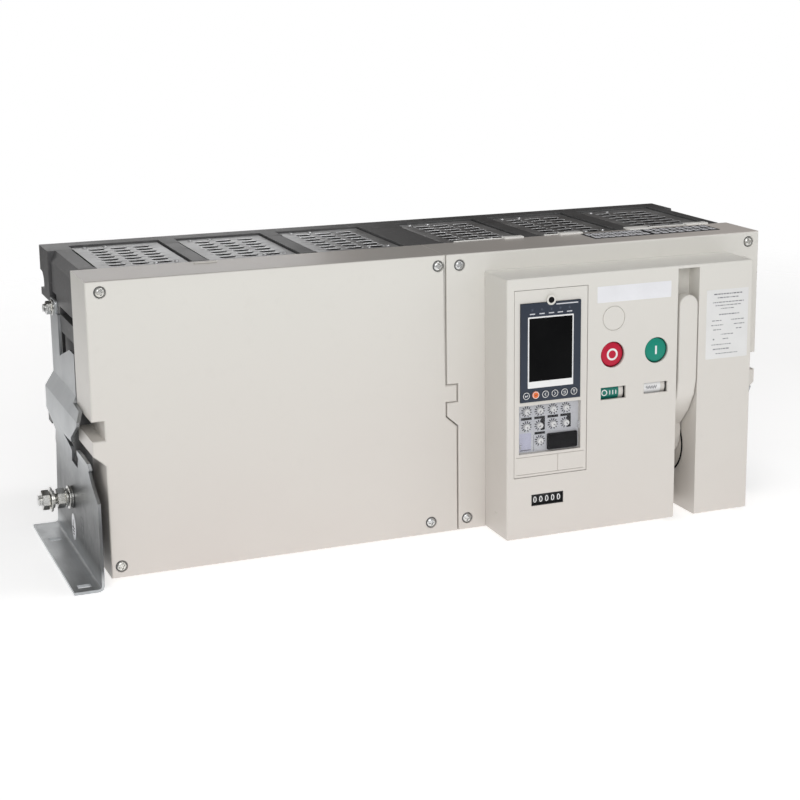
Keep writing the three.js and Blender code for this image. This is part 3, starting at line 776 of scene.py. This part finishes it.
def vent_cap(x):
    """A sheet metal cap with rows of louvres. The sheet is a grid (x, y), and each louvre is
    half of an ellipsoid pressed down: its depth is the root of 1 - x squared - y squared,
    with x and y in its half length and width. It ends along its straight rear side, where the
    strip of sheet behind it is left out. The rim is folded down."""
    slope = np.array([-1, -0.97, -0.88, -0.7, -0.45, -0.2, 0])
    bend = np.append(slope, -slope[-2::-1])
    across = np.concatenate([[-CAP_HALF, -CAP_HALF, -CAP_HALF + CAP_FOLD], *(
        middle + bend * LOUVRE_LONG for middle in LOUVRE_X),
        [CAP_HALF - CAP_FOLD, CAP_HALF, CAP_HALF]])
    along = np.concatenate([[CAP_FRONT, CAP_FRONT, CAP_FRONT + CAP_FOLD], *(
        np.append(middle + slope * LOUVRE_WIDE, [middle, middle + LOUVRE_SLIT])
        for middle in LOUVRE_Y), [CAP_BACK - CAP_FOLD, CAP_BACK, CAP_BACK]])
    slit_rows = 3 + 6 + np.arange(len(LOUVRE_Y)) * 9
    grid_x, grid_y = np.meshgrid(across, along, indexing="ij")
    drop = np.zeros_like(grid_x)
    for middle_x in LOUVRE_X:
        for row, middle_y in zip(slit_rows, LOUVRE_Y):
            in_x = np.clip(1 - ((grid_x - middle_x) / LOUVRE_LONG) ** 2, 0, 1)
            in_y = ((grid_y - middle_y) / LOUVRE_WIDE) ** 2
            dent = LOUVRE_DEEP * np.sqrt(np.clip(in_x - in_y, 0, 1))
            dent[:, row + 1:] = 0
            drop = np.maximum(drop, dent)
    height = CAP_TOP - drop
    height[[0, -1], :] = CAP_TOP - 1.6
    height[:, [0, -1]] = CAP_TOP - 1.6
    height[[1, -2], :] = np.minimum(height[[1, -2], :], CAP_TOP - 0.25)
    height[:, [1, -2]] = np.minimum(height[:, [1, -2]], CAP_TOP - 0.25)
    rows, cols = grid_x.shape
    faces = grid_faces(rows, cols)
    slit = np.isin(faces[:, 0] % cols, slit_rows) & (drop.ravel()[faces].max(1) > DENTED)
    points = np.stack([x + grid_x, grid_y, height], -1).reshape(-1, 3)
    return points, [faces[~slit]]


for number, x in enumerate(CHAMBERS_X, 1):
    cap = made(f"vent_cap_{number}", [vent_cap(x)], material=VENT_METAL, smooth=40)
    wall = cap.modifiers.new("sheet", "SOLIDIFY")
    wall.thickness, wall.offset = SHEET * MM, -1
    head = [(0, 1.2), (1.2, 1.15), (2.2, 0.9), (2.6, 0.4), (2.6, -0.4), (0, -0.4)]
    screws = [turned(head, (x + dx, y, CAP_TOP), "z", 12) for dx, y in CAP_SCREWS]
    made(f"vent_cap_screws_{number}", screws, material=VENT_METAL)

# Earth stud: threaded rod, nuts and washers
STUD_Y, STUD_Z = 125, 51


def hexagon(y, z, radius, x0, x1, chamfer=0.8):
    """A nut or bolt head along x: a hexagon with both ends drawn in."""
    section = [(chamfer, x0), (0, x0 + chamfer), (0, x1 - chamfer), (chamfer, x1)]
    return carried(round_outline(y, z, radius, 6, 0.3), section, "side", closed=False)


def washer(y, z, radius, x0, x1, steps=28):
    """A flat washer or a rod's end along x, with its edges drawn in."""
    profile = [(0, x0), (radius - 0.3, x0), (radius, x0 + 0.3), (radius, x1 - 0.3),
               (radius - 0.3, x1), (0, x1)]
    return turned(profile, (0, y, z), "x", steps)


stud = made("earth_stud_finish", [
    threaded(6, 1.75, 0.9, -36, 9, STUD_Y, STUD_Z),
    hexagon(STUD_Y, STUD_Z, 10.5, -32, -24),
    washer(STUD_Y, STUD_Z, 13, -23.4, -21.4),
    washer(STUD_Y, STUD_Z, 9.6, -21.2, -19.2),
    hexagon(STUD_Y, STUD_Z, 10.5, -17, -8),
    washer(STUD_Y, STUD_Z, 9.8, -7.8, -5.4),
    washer(STUD_Y, STUD_Z, 12.5, -4.8, -2.8),
    washer(STUD_Y, STUD_Z, 12, -2.4, -0.4),
    hexagon(STUD_Y, STUD_Z, 10.5, 3.4, 9),
], "zinc_steel")
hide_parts("earth_stud")

BOLT_Y, BOLT_Z = 180, 243
for side, face, away in (("left", 0, -1), ("right", BREAKER_WIDTH, 1)):
    reach = sorted((face + away * 1.8, face + away * 7.6))
    ring = sorted((face, face + away * 1.8))
    tip = sorted((face + away * 7.0, face + away * 10.2))
    tab = rounded_outline(168, 196, 234, 252, 4, 4)
    made(f"side_tab_{side}", [slab(tab, face - away * 2.8, face - away * 0.1, 0.3, "side")],
         "galvanised_sheet")
    made(f"side_bolt_{side}", [
        hexagon(BOLT_Y, BOLT_Z, 7.2, *reach),
        washer(BOLT_Y, BOLT_Z, 8.6, *ring),
        washer(BOLT_Y, BOLT_Z, 4.2, *tip),
    ], "zinc_steel")

# Earth symbol on an oval label, and a plain stamped mark, on the left side plate
oval = np.array([125.5, 18]) + np.array([10.0, 14.5]) * round_outline(0, 0, 1, 36)
made("earth_label", [slab(oval, 0.05, -0.35, 0.1, "side")], material=LABEL_STOCK)
EARTH_LINES = [[(125.5, 26), (125.5, 17)], [(119, 17), (132, 17)], [(121, 13.6), (130, 13.6)],
               [(123.2, 10.2), (127.8, 10.2)]]
made("earth_symbol", [stroke(line, 1.2, -0.3, -0.45, "side") for line in EARTH_LINES],
     material=BLACK_PRINT)
made("stamped_mark", [
    stroke(rounded_outline(72, 84, 26, 42, 1.5), 1.0, 0.02, -0.12, "side", True),
    stroke([(74, 34), (82, 34)], 0.9, 0.02, -0.12, "side"),
    stroke([(78, 20), (78, 14)], 1.0, 0.02, -0.12, "side"),
], material=STAMPING_AND_WELL_SHADE)


# ---- clips and number strips on top of the plate ----

CLIPS = [(470, 493, 66, 76), (537, 565, 66, 74.5), (622, 650, 62, 79), (699, 727, 69, 79)]
EDGES = [(412, 470, 71.5, 73.5), (520, 537, 71.5, 73.5), (653, 699, 74, 76.5)]
made("terminal_clips", [block((x0, y0, 299), (x1, y1, 301.8), 0.8) for x0, x1, y0, y1 in CLIPS]
     + [block((x0, y0, 299), (x1, y1, 300.9), 0.5) for x0, x1, y0, y1 in EDGES],
     material=WHITE_CLIP)
STRIPS = [(560, 633), (634, 717)]
made("number_strips", [slab(rounded_outline(x0, x1, 27, 63, 1), 299.8, 300.5, 0.3, "top")
                       for x0, x1 in STRIPS], material=BLACK_PRINT)
cells, bars = [], []
for x0, x1 in STRIPS:
    for cx in np.linspace(x0 + 6, x1 - 6, 8):
        for cy in (36.5, 53.5):
            ring = rounded_outline(cx - 3.4, cx + 3.4, cy - 6.3, cy + 6.3, 0.6, 1)
            cells.append(slab(ring, 300.4, 300.6, 0.05, "top"))
            bars.append(stroke([(cx, cy - 3.5), (cx, cy + 3.5)], 1.0, 300.5, 300.7, "top"))
made("number_cells", cells, material=LABEL_STOCK)
made("number_bars", bars, material=BLACK_PRINT)


# ---- labels on the fascia ----

made("blank_label", [slab(rounded_outline(520, 608, 247, 264.4, 0.6, 2),
                          FASCIA_FRONT + 0.1, FASCIA_FRONT - 0.12, 0.08)], material=LABEL_STOCK)
made("rating_label", [slab(rounded_outline(652, 704, 174, 250, 0.6, 2),
                           FASCIA_FRONT + 0.1, FASCIA_FRONT - 0.1, 0.08)], material=FOIL_STOCK)
ROWS = [(245, 658, 698, 1.3), (241, 663, 693, 1.1), (236, 657, 699, 1.0), (232.5, 660, 696, 0.9),
        (229, 664, 690, 0.9), (222.5, 663, 693, 1.2), (216, 655, 671, 0.9), (216, 680, 699, 0.9),
        (211, 655, 675, 0.9), (211, 684, 700, 0.9), (206, 655, 675, 0.9), (206, 684, 700, 0.9),
        (200.5, 668, 688, 0.9), (195.5, 655, 664, 1.4), (195.5, 670, 682, 0.9),
        (189.5, 656, 684, 0.9), (184.5, 656, 684, 1.2), (179.5, 662, 692, 0.8)]
dashes = []
for z, x0, x1, wide in ROWS:
    ends = x0 + np.cumsum(rng.uniform(1.6, 5.2, 40))
    ends = ends[ends < x1]
    dashes += [stroke([(a + 0.9, z), (b, z)], wide, FASCIA_FRONT, FASCIA_FRONT - 0.16)
               for a, b in zip(ends[:-1], ends[1:])]
made("rating_lines", dashes, material=GREY_PRINT)


# ---- push buttons, flags and counter ----

BUTTON_SET_BACK = 2.6


def button_cap(node, slot, symbol):
    """A button with a round rim and a slightly domed face, and its symbol in white."""
    x, z, nose, _ = front_of(node)
    front = nose + BUTTON_SET_BACK
    profile = [(0, 24.8), (6, 24.8), (6, 6), (15.5, 6), (15.5, 4.5), (12.9, 4.5), (12.9, 0.9),
               (12.7, 0.35), (12.2, -0.05), (11.4, -0.35), (9, -0.75), (5, -1.0), (0, -1.1)]
    cap = made(node + "_cap", [turned([(r, d + front) for r, d in profile], (x, 0, z), "y", 48)],
               slot, body=node)
    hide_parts(node)
    mark = [stroke(path + np.array([x, z]), 2.1, front - 0.6, front - 1.22, closed=closed)
            for path, closed in symbol]
    made(node + "_mark", mark, "white_print", body=node)


button_cap("off_button", "red_button", [(round_outline(0, 0, 5.4, 40), True)])
button_cap("on_button", "green_button", [(np.array([(0, -4.6), (0, 4.6)]), False)])


def flag_drum(node, slot, share, marks):
    """A flag's drum: an axle and a drum in the plain finish, a coloured sleeve over the left
    share of it, and its marks bent round the sleeve."""
    low, high = corners_of(node)
    y, z, radius = (low[1] + high[1]) / 2, (low[2] + high[2]) / 2, (high[2] - low[2]) / 2
    x0, x1 = low[0] + 4.5, high[0] - 4.2
    drum = turned([(0, low[0]), (2, low[0]), (2, x0), (radius - 0.2, x0), (radius, x0 + 0.2),
                   (radius, x1 - 0.2), (radius - 0.2, x1), (2, x1), (2, high[0]),
                   (0, high[0])], (0, y, z), "x", 40)
    piece = made(node + "_drum", [drum], "cover_plastic", body=node)
    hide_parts(node)
    end = x0 + (x1 - x0) * share
    sleeve = turned([(radius - 1, x0 + 0.3), (radius + 0.15, x0 + 0.3), (radius + 0.15, end),
                     (radius - 1, end)], (0, y, z), "x", 40, ring=True)
    made(node + "_sleeve", [sleeve], slot, body=node)
    shapes = [wrapped((points + np.array([x0, 0, z]), tables), y, z, radius)
              for points, tables in marks]
    return shapes


ring_mark = stroke(round_outline(5.5, 0, 2.9, 28), 0.95, 0, -0.32, closed=True)
bar_height = np.linspace(-2.3, 2.3, 9)
bar_marks = [stroke(np.column_stack([np.full(9, 12 + 3.6 * k), bar_height]), 0.9, 0, -0.32)
             for k in range(3)]
made("position_flag_mark", flag_drum("position_flag", "green_flag", 0.8, [ring_mark, *bar_marks]),
     "white_print", body="position_flag")
coil_path = np.column_stack([np.linspace(4, 17, 27), 2.0 * np.tile([0, 1, 0, -1], 7)[:27]])
coil_mark = stroke(coil_path, 0.6, 0, -0.32)
made("spring_flag_mark", flag_drum("spring_flag", "white_print", 0.8, [coil_mark]),
     material=GREY_PRINT, body="spring_flag")

WHEEL_PITCH, WHEEL_RADIUS = 6.9, 9.5
wheel_y, wheel_z = -54.3 + WHEEL_RADIUS, 41.7
wheels, digits = [], []
nought = np.array([1.45, 2.9]) * round_outline(0, 0, 1, 20)
for number in range(5):
    x = 463.6 + (number - 2) * WHEEL_PITCH
    wheels.append(turned([(0, x - 3), (WHEEL_RADIUS - 0.4, x - 3), (WHEEL_RADIUS, x - 2.7),
                          (WHEEL_RADIUS, x + 2.7), (WHEEL_RADIUS - 0.4, x + 3), (0, x + 3)],
                         (0, wheel_y, wheel_z), "x", 36))
    digit = stroke(nought + np.array([x, wheel_z]), 0.85, 0, -0.15, closed=True)
    digits.append(wrapped(digit, wheel_y, wheel_z, WHEEL_RADIUS))
made("counter_wheels", wheels, "black_resin")
made("counter_digits", digits, "white_print")
counter_frame = rounded_outline(444.6, 482.7, 35, 48.4, 0.8, 3)
frame_section = [(0, -55.2), (0, -53.2), (1.2, -53.2), (1.2, -55.2)]
made("counter_frame", [carried(counter_frame, frame_section)], "black_resin")


# ---- trip unit ----

def unit_edge(mid):
    """The trip unit's edges on its front face, and those in front of the bezel."""
    return abs(mid[1] - UNIT_FRONT) < ON_PLANE or mid[1] < BEZEL_FRONT


def bezel_edge(mid):
    """The bezel's edges on its front face."""
    return abs(mid[1] - BEZEL_FRONT) < ON_PLANE


softened("trip_unit", "cover_plastic", [(unit_edge, 0.3, 2)])
softened("display", "navy_bezel", [(bezel_edge, 0.25, 2)])

made("screen_frame", [slab(rounded_outline(439.6, 492, 163.6, 238.9, 0.8, 3),
                           BEZEL_FRONT + 0.2, BEZEL_FRONT - 0.14, 0.1)], "white_print")
made("screen", [slab(rounded_outline(441, 490.6, 170.6, 237.4, 0.4, 2),
                     BEZEL_FRONT, BEZEL_FRONT - 0.26, 0.1)], material=SCREEN_GLASS)
LAMPS_X = [444.6, 455.6, 466.3, 476.5, 487.1]
made("status_lamps", [turned([(0, 0.3), (1.15, 0.3), (1.15, -0.1), (0.8, -0.28), (0, -0.34)],
                             (x, BEZEL_FRONT, 246.3), "y", 16) for x in LAMPS_X],
     material=LAMP_LENS)
captions = [stroke([(x - 3, 241.9), (x + 3, 241.9)], 1.1, BEZEL_FRONT + 0.1, BEZEL_FRONT - 0.1)
            for x in LAMPS_X]
captions.append(stroke([(472, 250.6), (497, 250.6)], 1.2, BEZEL_FRONT + 0.1, BEZEL_FRONT - 0.1))
made("lamp_captions", captions, material=BAY_PRINT)
SCREW_X, SCREW_Z = 466.2, 255.4
made("unit_screw_collar", [turned([(3.3, -56.9), (5.3, -56.9), (5.4, -57.2), (5.1, -57.5),
                                   (3.7, -57.5), (3.3, -57.3)],
                                  (SCREW_X, 0, SCREW_Z), "y", 32, ring=True)], "cover_plastic")
made("unit_screw", [turned([(0, -56.8), (3.4, -56.8), (3.4, -57.24), (2.2, -57.3), (1.2, -57.2),
                            (0, -57.22)], (SCREW_X, 0, SCREW_Z), "y", 24)], material=BLACK_CAP)

ORANGE_KEY = 2
KEY_GLYPHS = [
    [[(1.3, 1.2), (1.3, -0.4), (-1.3, -0.4)], [(-0.4, 0.6), (-1.4, -0.4), (-0.4, -1.3)]],
    [[(-1.4, 0.7), (0, -0.9), (1.4, 0.7)]],
    [[(0.8, 1.5), (-0.9, 0), (0.8, -1.5)]],
    [[(-0.8, 1.5), (0.9, 0), (-0.8, -1.5)]],
    [[(-1.3, 1), (1.3, 1), (1.3, -1), (-1.3, -1)]],
    [[(-1.5, 1.2), (1.5, 1.2)], [(0, 1.2), (0, -1.6)]],
]
for number, glyph in enumerate(KEY_GLYPHS, 1):
    node = f"key_{number}"
    x, z, front, back = front_of(node)
    slot = "orange_key" if number == ORANGE_KEY else "navy_bezel"
    profile = [(0, back), (4, back), (4, front + 0.35), (3.85, front + 0.1), (3.5, front),
               (0, front - 0.12)]
    cap = made(node + "_cap", [turned(profile, (x, 0, z), "y", 32)], slot, body=node)
    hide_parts(node)
    ring = stroke(round_outline(x, z, 3.45, 36), 0.55, front + 0.2, front - 0.1, closed=True)
    marks = [stroke(path + np.array([x, z]), 0.6, front, front - 0.2)
             for path in map(np.array, glyph)]
    if number == ORANGE_KEY:
        made(node + "_print", [ring], "white_print", body=node)
        made(node + "_glyph", marks, material=BLACK_PRINT, body=node)
    else:
        made(node + "_print", [ring, *marks], "white_print", body=node)

# Setting panel in the bay, with scale ticks round the dials and name strips above them
made("bay_panel", [slab(rounded_outline(430.9, 501.6, 93.2, 144.6, 0.5, 2),
                        BAY_FLOOR + 0.1, BAY_FLOOR - 0.35, 0.1)], material=BAY_PRINT)
face = BAY_FLOOR - 0.3
ticks, dark = [], []
for number in range(1, 10):
    node = f"dial_{number}"
    x, z, front, back = front_of(node)
    knob = made(node + "_knob", [turned([(0, back), (2.9, back), (3.1, front + 0.5),
                                         (2.9, front + 0.1), (2.5, front), (0, front)],
                                        (x, 0, z), "y", 28)], "white_print", body=node)
    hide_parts(node)
    spoke = rng.uniform(0.3, 2.8)
    reach = 2.1 * np.array([math.cos(spoke), math.sin(spoke)])
    made(node + "_slot", [stroke([(x, z) - reach, (x, z) + reach * 0.2], 0.9, front + 0.1,
                                 front - 0.08)], material=GREY_PRINT, body=node)
    for turn in np.radians(np.arange(-70, 251, 29)):
        spoke = np.array([math.cos(turn), math.sin(turn)])
        ticks.append(stroke([spoke * 3.5 + (x, z), spoke * 6.0 + (x, z)], 1.05, face, face - 0.15))
    if number > 4:
        ticks.append(stroke([(x - 6.1, z + 8.2), (x + 6.1, z + 8.2)], 2.7, face, face - 0.17))
    if number in (6, 8):
        dark.append(slab(rounded_outline(x + 1.6, x + 6.2, z - 5.6, z + 7.0, 0.8, 3),
                         face + 0.1, face - 0.13, 0.05))
made("bay_ticks", ticks, material=BLACK_PRINT)
made("bay_sectors", dark, material=BLACK_PRINT)
made("bay_label", [slab(rounded_outline(433, 446.5, 95, 114.5, 0.4, 2), face + 0.1, face - 0.1,
                        0.05)], material=LILAC_PRINT)
made("bay_rules", [stroke([(449.5, 94), (449.5, 112)], 0.5, face, face - 0.14),
                   stroke([(434, 96), (446, 96)], 1.0, face, face - 0.14)], material=GREY_PRINT)
made("test_socket_cap", [block((464.3, -54.9, 94.4), (499.4, -50.7, 111.8), 1.6, 4)],
     material=BLACK_CAP)

softened("clear_cover", "clear_plastic", [(every, 0.25, 2)])
cover_low, cover_high = corners_of("clear_cover")
pin = [(0, 0), (0.85, 0), (0.95, 0.2), (0.95, 4.8), (0.85, 5), (0, 5)]
pin_y = (cover_low[1] + cover_high[1]) / 2
hinges = [turned(pin, (cover_low[0] + 1.2, pin_y, z0), "z", 16) for z0 in (99, 133)]
catch = block((cover_high[0] - 3, cover_low[1] - 0.5, 115),
              (cover_high[0] - 0.6, cover_low[1] + 0.3, 123), 0.3)
made("clear_cover_hinges", [*hinges, catch], "clear_plastic", CLEAR_EDGE, "clear_cover")


# ---- charging handle ----

softened("charge_handle", "cover_plastic", [(every, 2.0, 4)], keep_sharp=32)
HUB_Y, HUB_Z, HUB_SIDE = 8, 71, 641.6
hub = (HUB_SIDE, HUB_Y, HUB_Z)
made("hub_plate", [turned([(0, 0), (34.6, 0), (34.8, 0.3), (34.6, 0.6), (0, 0.6)],
                          hub, "x", 64)], "cover_plastic")
# A black ring round the hub, a painted shade for the shadow gap between the hub and the slot's
# wall.
made("hub_shade_ring", [turned([(34.4, -0.1), (36.3, -0.1), (36.5, 0.2), (36.3, 0.7), (34.4, 0.7)],
                        hub, "x", 64, ring=True)], material=BLACK_CAP)


# ---- floor, light and camera ----

def plain_stage():
    """A pale floor that thins out to the white of the room away from the object."""
    f = Finish("pale_floor")
    far = f.node("VectorMath", {"operation": "LENGTH"}, {0: f.place}, "Value")
    f.surface(
        Base_Color=f.mix(f.noise(8.0), (0.80, 0.80, 0.80), (0.84, 0.84, 0.84)),
        Roughness=0.9,
        Emission_Color=(1, 1, 1),
        Emission_Strength=0.55,
        Specular_IOR_Level=0.1,
        Alpha=f.span(far, 0.9, 1.9, 1.0, 0.0),
    )
    floor = bpy.data.meshes.new("floor")
    reach = 2.5
    floor.from_pydata([(-reach, -reach, 0), (reach, -reach, 0), (reach, reach, 0),
                       (-reach, reach, 0)], [], [(0, 1, 2, 3)])
    floor.materials.append(f.material)
    ground = bpy.data.objects.new("floor", floor)
    bpy.context.scene.collection.objects.link(ground)


def towards(forward, right, up):
    """The turn that looks along forward, with right and up as the picture's axes."""
    return Matrix(np.column_stack([right, up, -forward]).tolist()).to_4x4()


def soft_light(name, place, aim, size, power):
    """A rectangular lamp, size in metres and power in watts, that faces the aim."""
    lamp = bpy.data.lights.new(name, "AREA")
    lamp.shape, lamp.size, lamp.size_y = "RECTANGLE", size[0], size[1]
    lamp.energy = power
    holder = bpy.data.objects.new(name, lamp)
    forward = np.array(aim, float) - np.array(place, float)
    forward /= np.linalg.norm(forward)
    right = np.cross(forward, (0, 0, 1))
    right /= np.linalg.norm(right)
    turn = towards(forward, right, np.cross(right, forward))
    holder.matrix_world = Matrix.Translation(place) @ turn
    bpy.context.scene.collection.objects.link(holder)


def studio_room():
    """A white room for the eye. On the object it is an even light that is dimmer and a
    little warmer towards the rear."""
    room = Finish("studio", "worlds", "Background", "Generated")
    tones = [(0, (0.50, 0.50, 0.50)), (1, (0.055, 0.048, 0.044))]
    to_rear = room.span(room.along("Y"), -0.5, 0.2)
    room.surface(Color=room.node("ValToRGB", {"stops": tones}, {0: to_rear}))
    even = Value(room, room.shader.outputs[0])
    seen = room.node("Background", None, {"Color": (1, 1, 1, 1)})
    by_eye = room.node("LightPath", out="Is Camera Ray")
    both = room.node("MixShader", None, {0: by_eye, 1: even, 2: seen})
    room.tree.links.new(both.socket, room.tree.nodes["World Output"].inputs[0])
    bpy.context.scene.world = room.material


plain_stage()
studio_room()
soft_light("key", (-0.9, -2.8, 1.5), (0, 0, 0.15), (2.2, 1.6), 32)
soft_light("fill", (2.6, -1.6, 1.0), (0.1, 0, 0.15), (1.4, 1.4), 6)
soft_light("side", (-2.4, 0.9, 1.0), (-0.37, 0, 0.15), (1.2, 1.2), 9)
soft_light("rear_side", (-1.4, 2.0, 0.5), (-0.38, 0, 0.15), (0.9, 0.8), 2.6)
soft_light("above", (0.25, -0.2, 1.25), (0.25, -0.1, 0.3), (0.4, 0.3), 2.4)
soft_light("rear_left", (0.05, 2.4, 0.85), (-0.2, 0, 0.3), (1.3, 0.8), 4.9)

EYE_PLACE = (-0.685193, -1.768609, 0.613420)
EYE_RIGHT, EYE_UP = (0.91940, -0.39331, -0.00438), (0.08991, 0.19931, 0.97580)
camera = bpy.data.cameras.new("camera")
camera.sensor_width, camera.lens = 36, 78.93
camera.shift_x, camera.shift_y = -0.0766, -0.0694
eye = bpy.data.objects.new("camera", camera)
turn = towards(-np.cross(EYE_RIGHT, EYE_UP), EYE_RIGHT, EYE_UP)
eye.matrix_world = Matrix.Translation(EYE_PLACE) @ turn
bpy.context.scene.collection.objects.link(eye)
bpy.context.scene.camera = eye
bpy.context.scene.view_settings.view_transform = "Standard"
